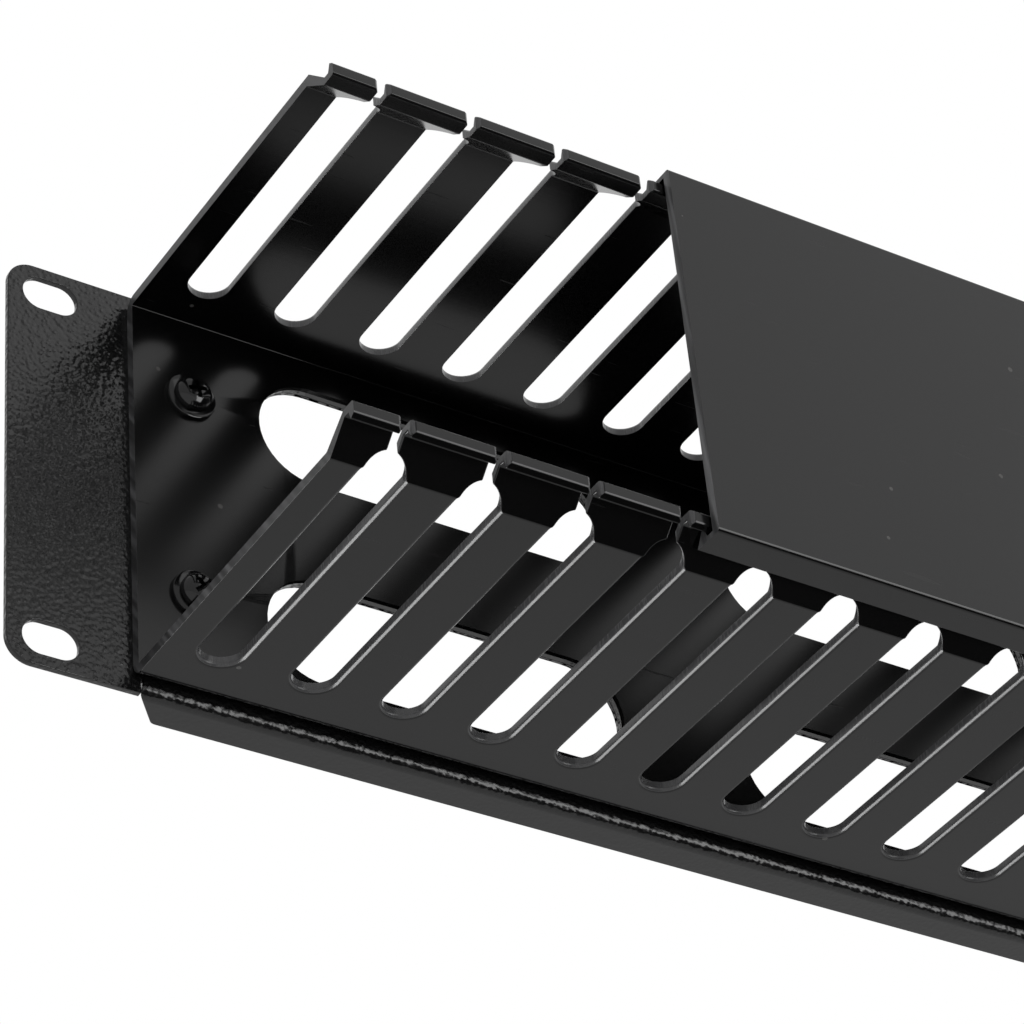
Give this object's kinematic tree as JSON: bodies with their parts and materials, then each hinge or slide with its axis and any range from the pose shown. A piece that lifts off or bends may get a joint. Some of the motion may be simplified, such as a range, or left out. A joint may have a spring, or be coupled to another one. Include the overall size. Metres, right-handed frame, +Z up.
{
  "type": "horizontal cable manager",
  "caption": "Two-unit rack panel with a finger-slotted plastic cable duct, oblong rear ports and a cover that clips over the fingers and slides.",
  "frame": {"origin": "middle of the panel's flat rear face, at the centre of its four rack slots", "axes": "+X to the right as seen from the front, along the duct; +Y to the rear, into the rack; +Z up"},
  "size_m": [0.5261, 0.0857, 0.0882],
  "materials": {
    "powder_coat": "black powder coat with a fine hammered texture, semi-gloss",
    "duct_plastic": "black rigid PVC, smooth satin, with sawn and punched edges",
    "cover_plastic": "black rigid PVC, smooth satin",
    "black_steel": "black zinc plating, glossy"
  },
  "bodies": {
    "panel_and_duct": {"rack_panel": "powder_coat", "cable_duct": "duct_plastic", "screw_upper_left": "black_steel", "washer_upper_left": "black_steel", "lock_washer_upper_left": "black_steel", "nut_upper_left": "black_steel", "screw_lower_left": "black_steel", "washer_lower_left": "black_steel", "lock_washer_lower_left": "black_steel", "nut_lower_left": "black_steel", "screw_upper_right": "black_steel", "washer_upper_right": "black_steel", "lock_washer_upper_right": "black_steel", "nut_upper_right": "black_steel", "screw_lower_right": "black_steel", "washer_lower_right": "black_steel", "lock_washer_lower_right": "black_steel", "nut_lower_right": "black_steel"},
    "cover": {"cover": "cover_plastic"}
  },
  "joints": [
    {"name": "cover_slide", "type": "slide", "parent": "panel_and_duct", "child": "cover", "axis": [1, 0, 0], "range_m": [-0.4481, 0.3119]}
  ]
}
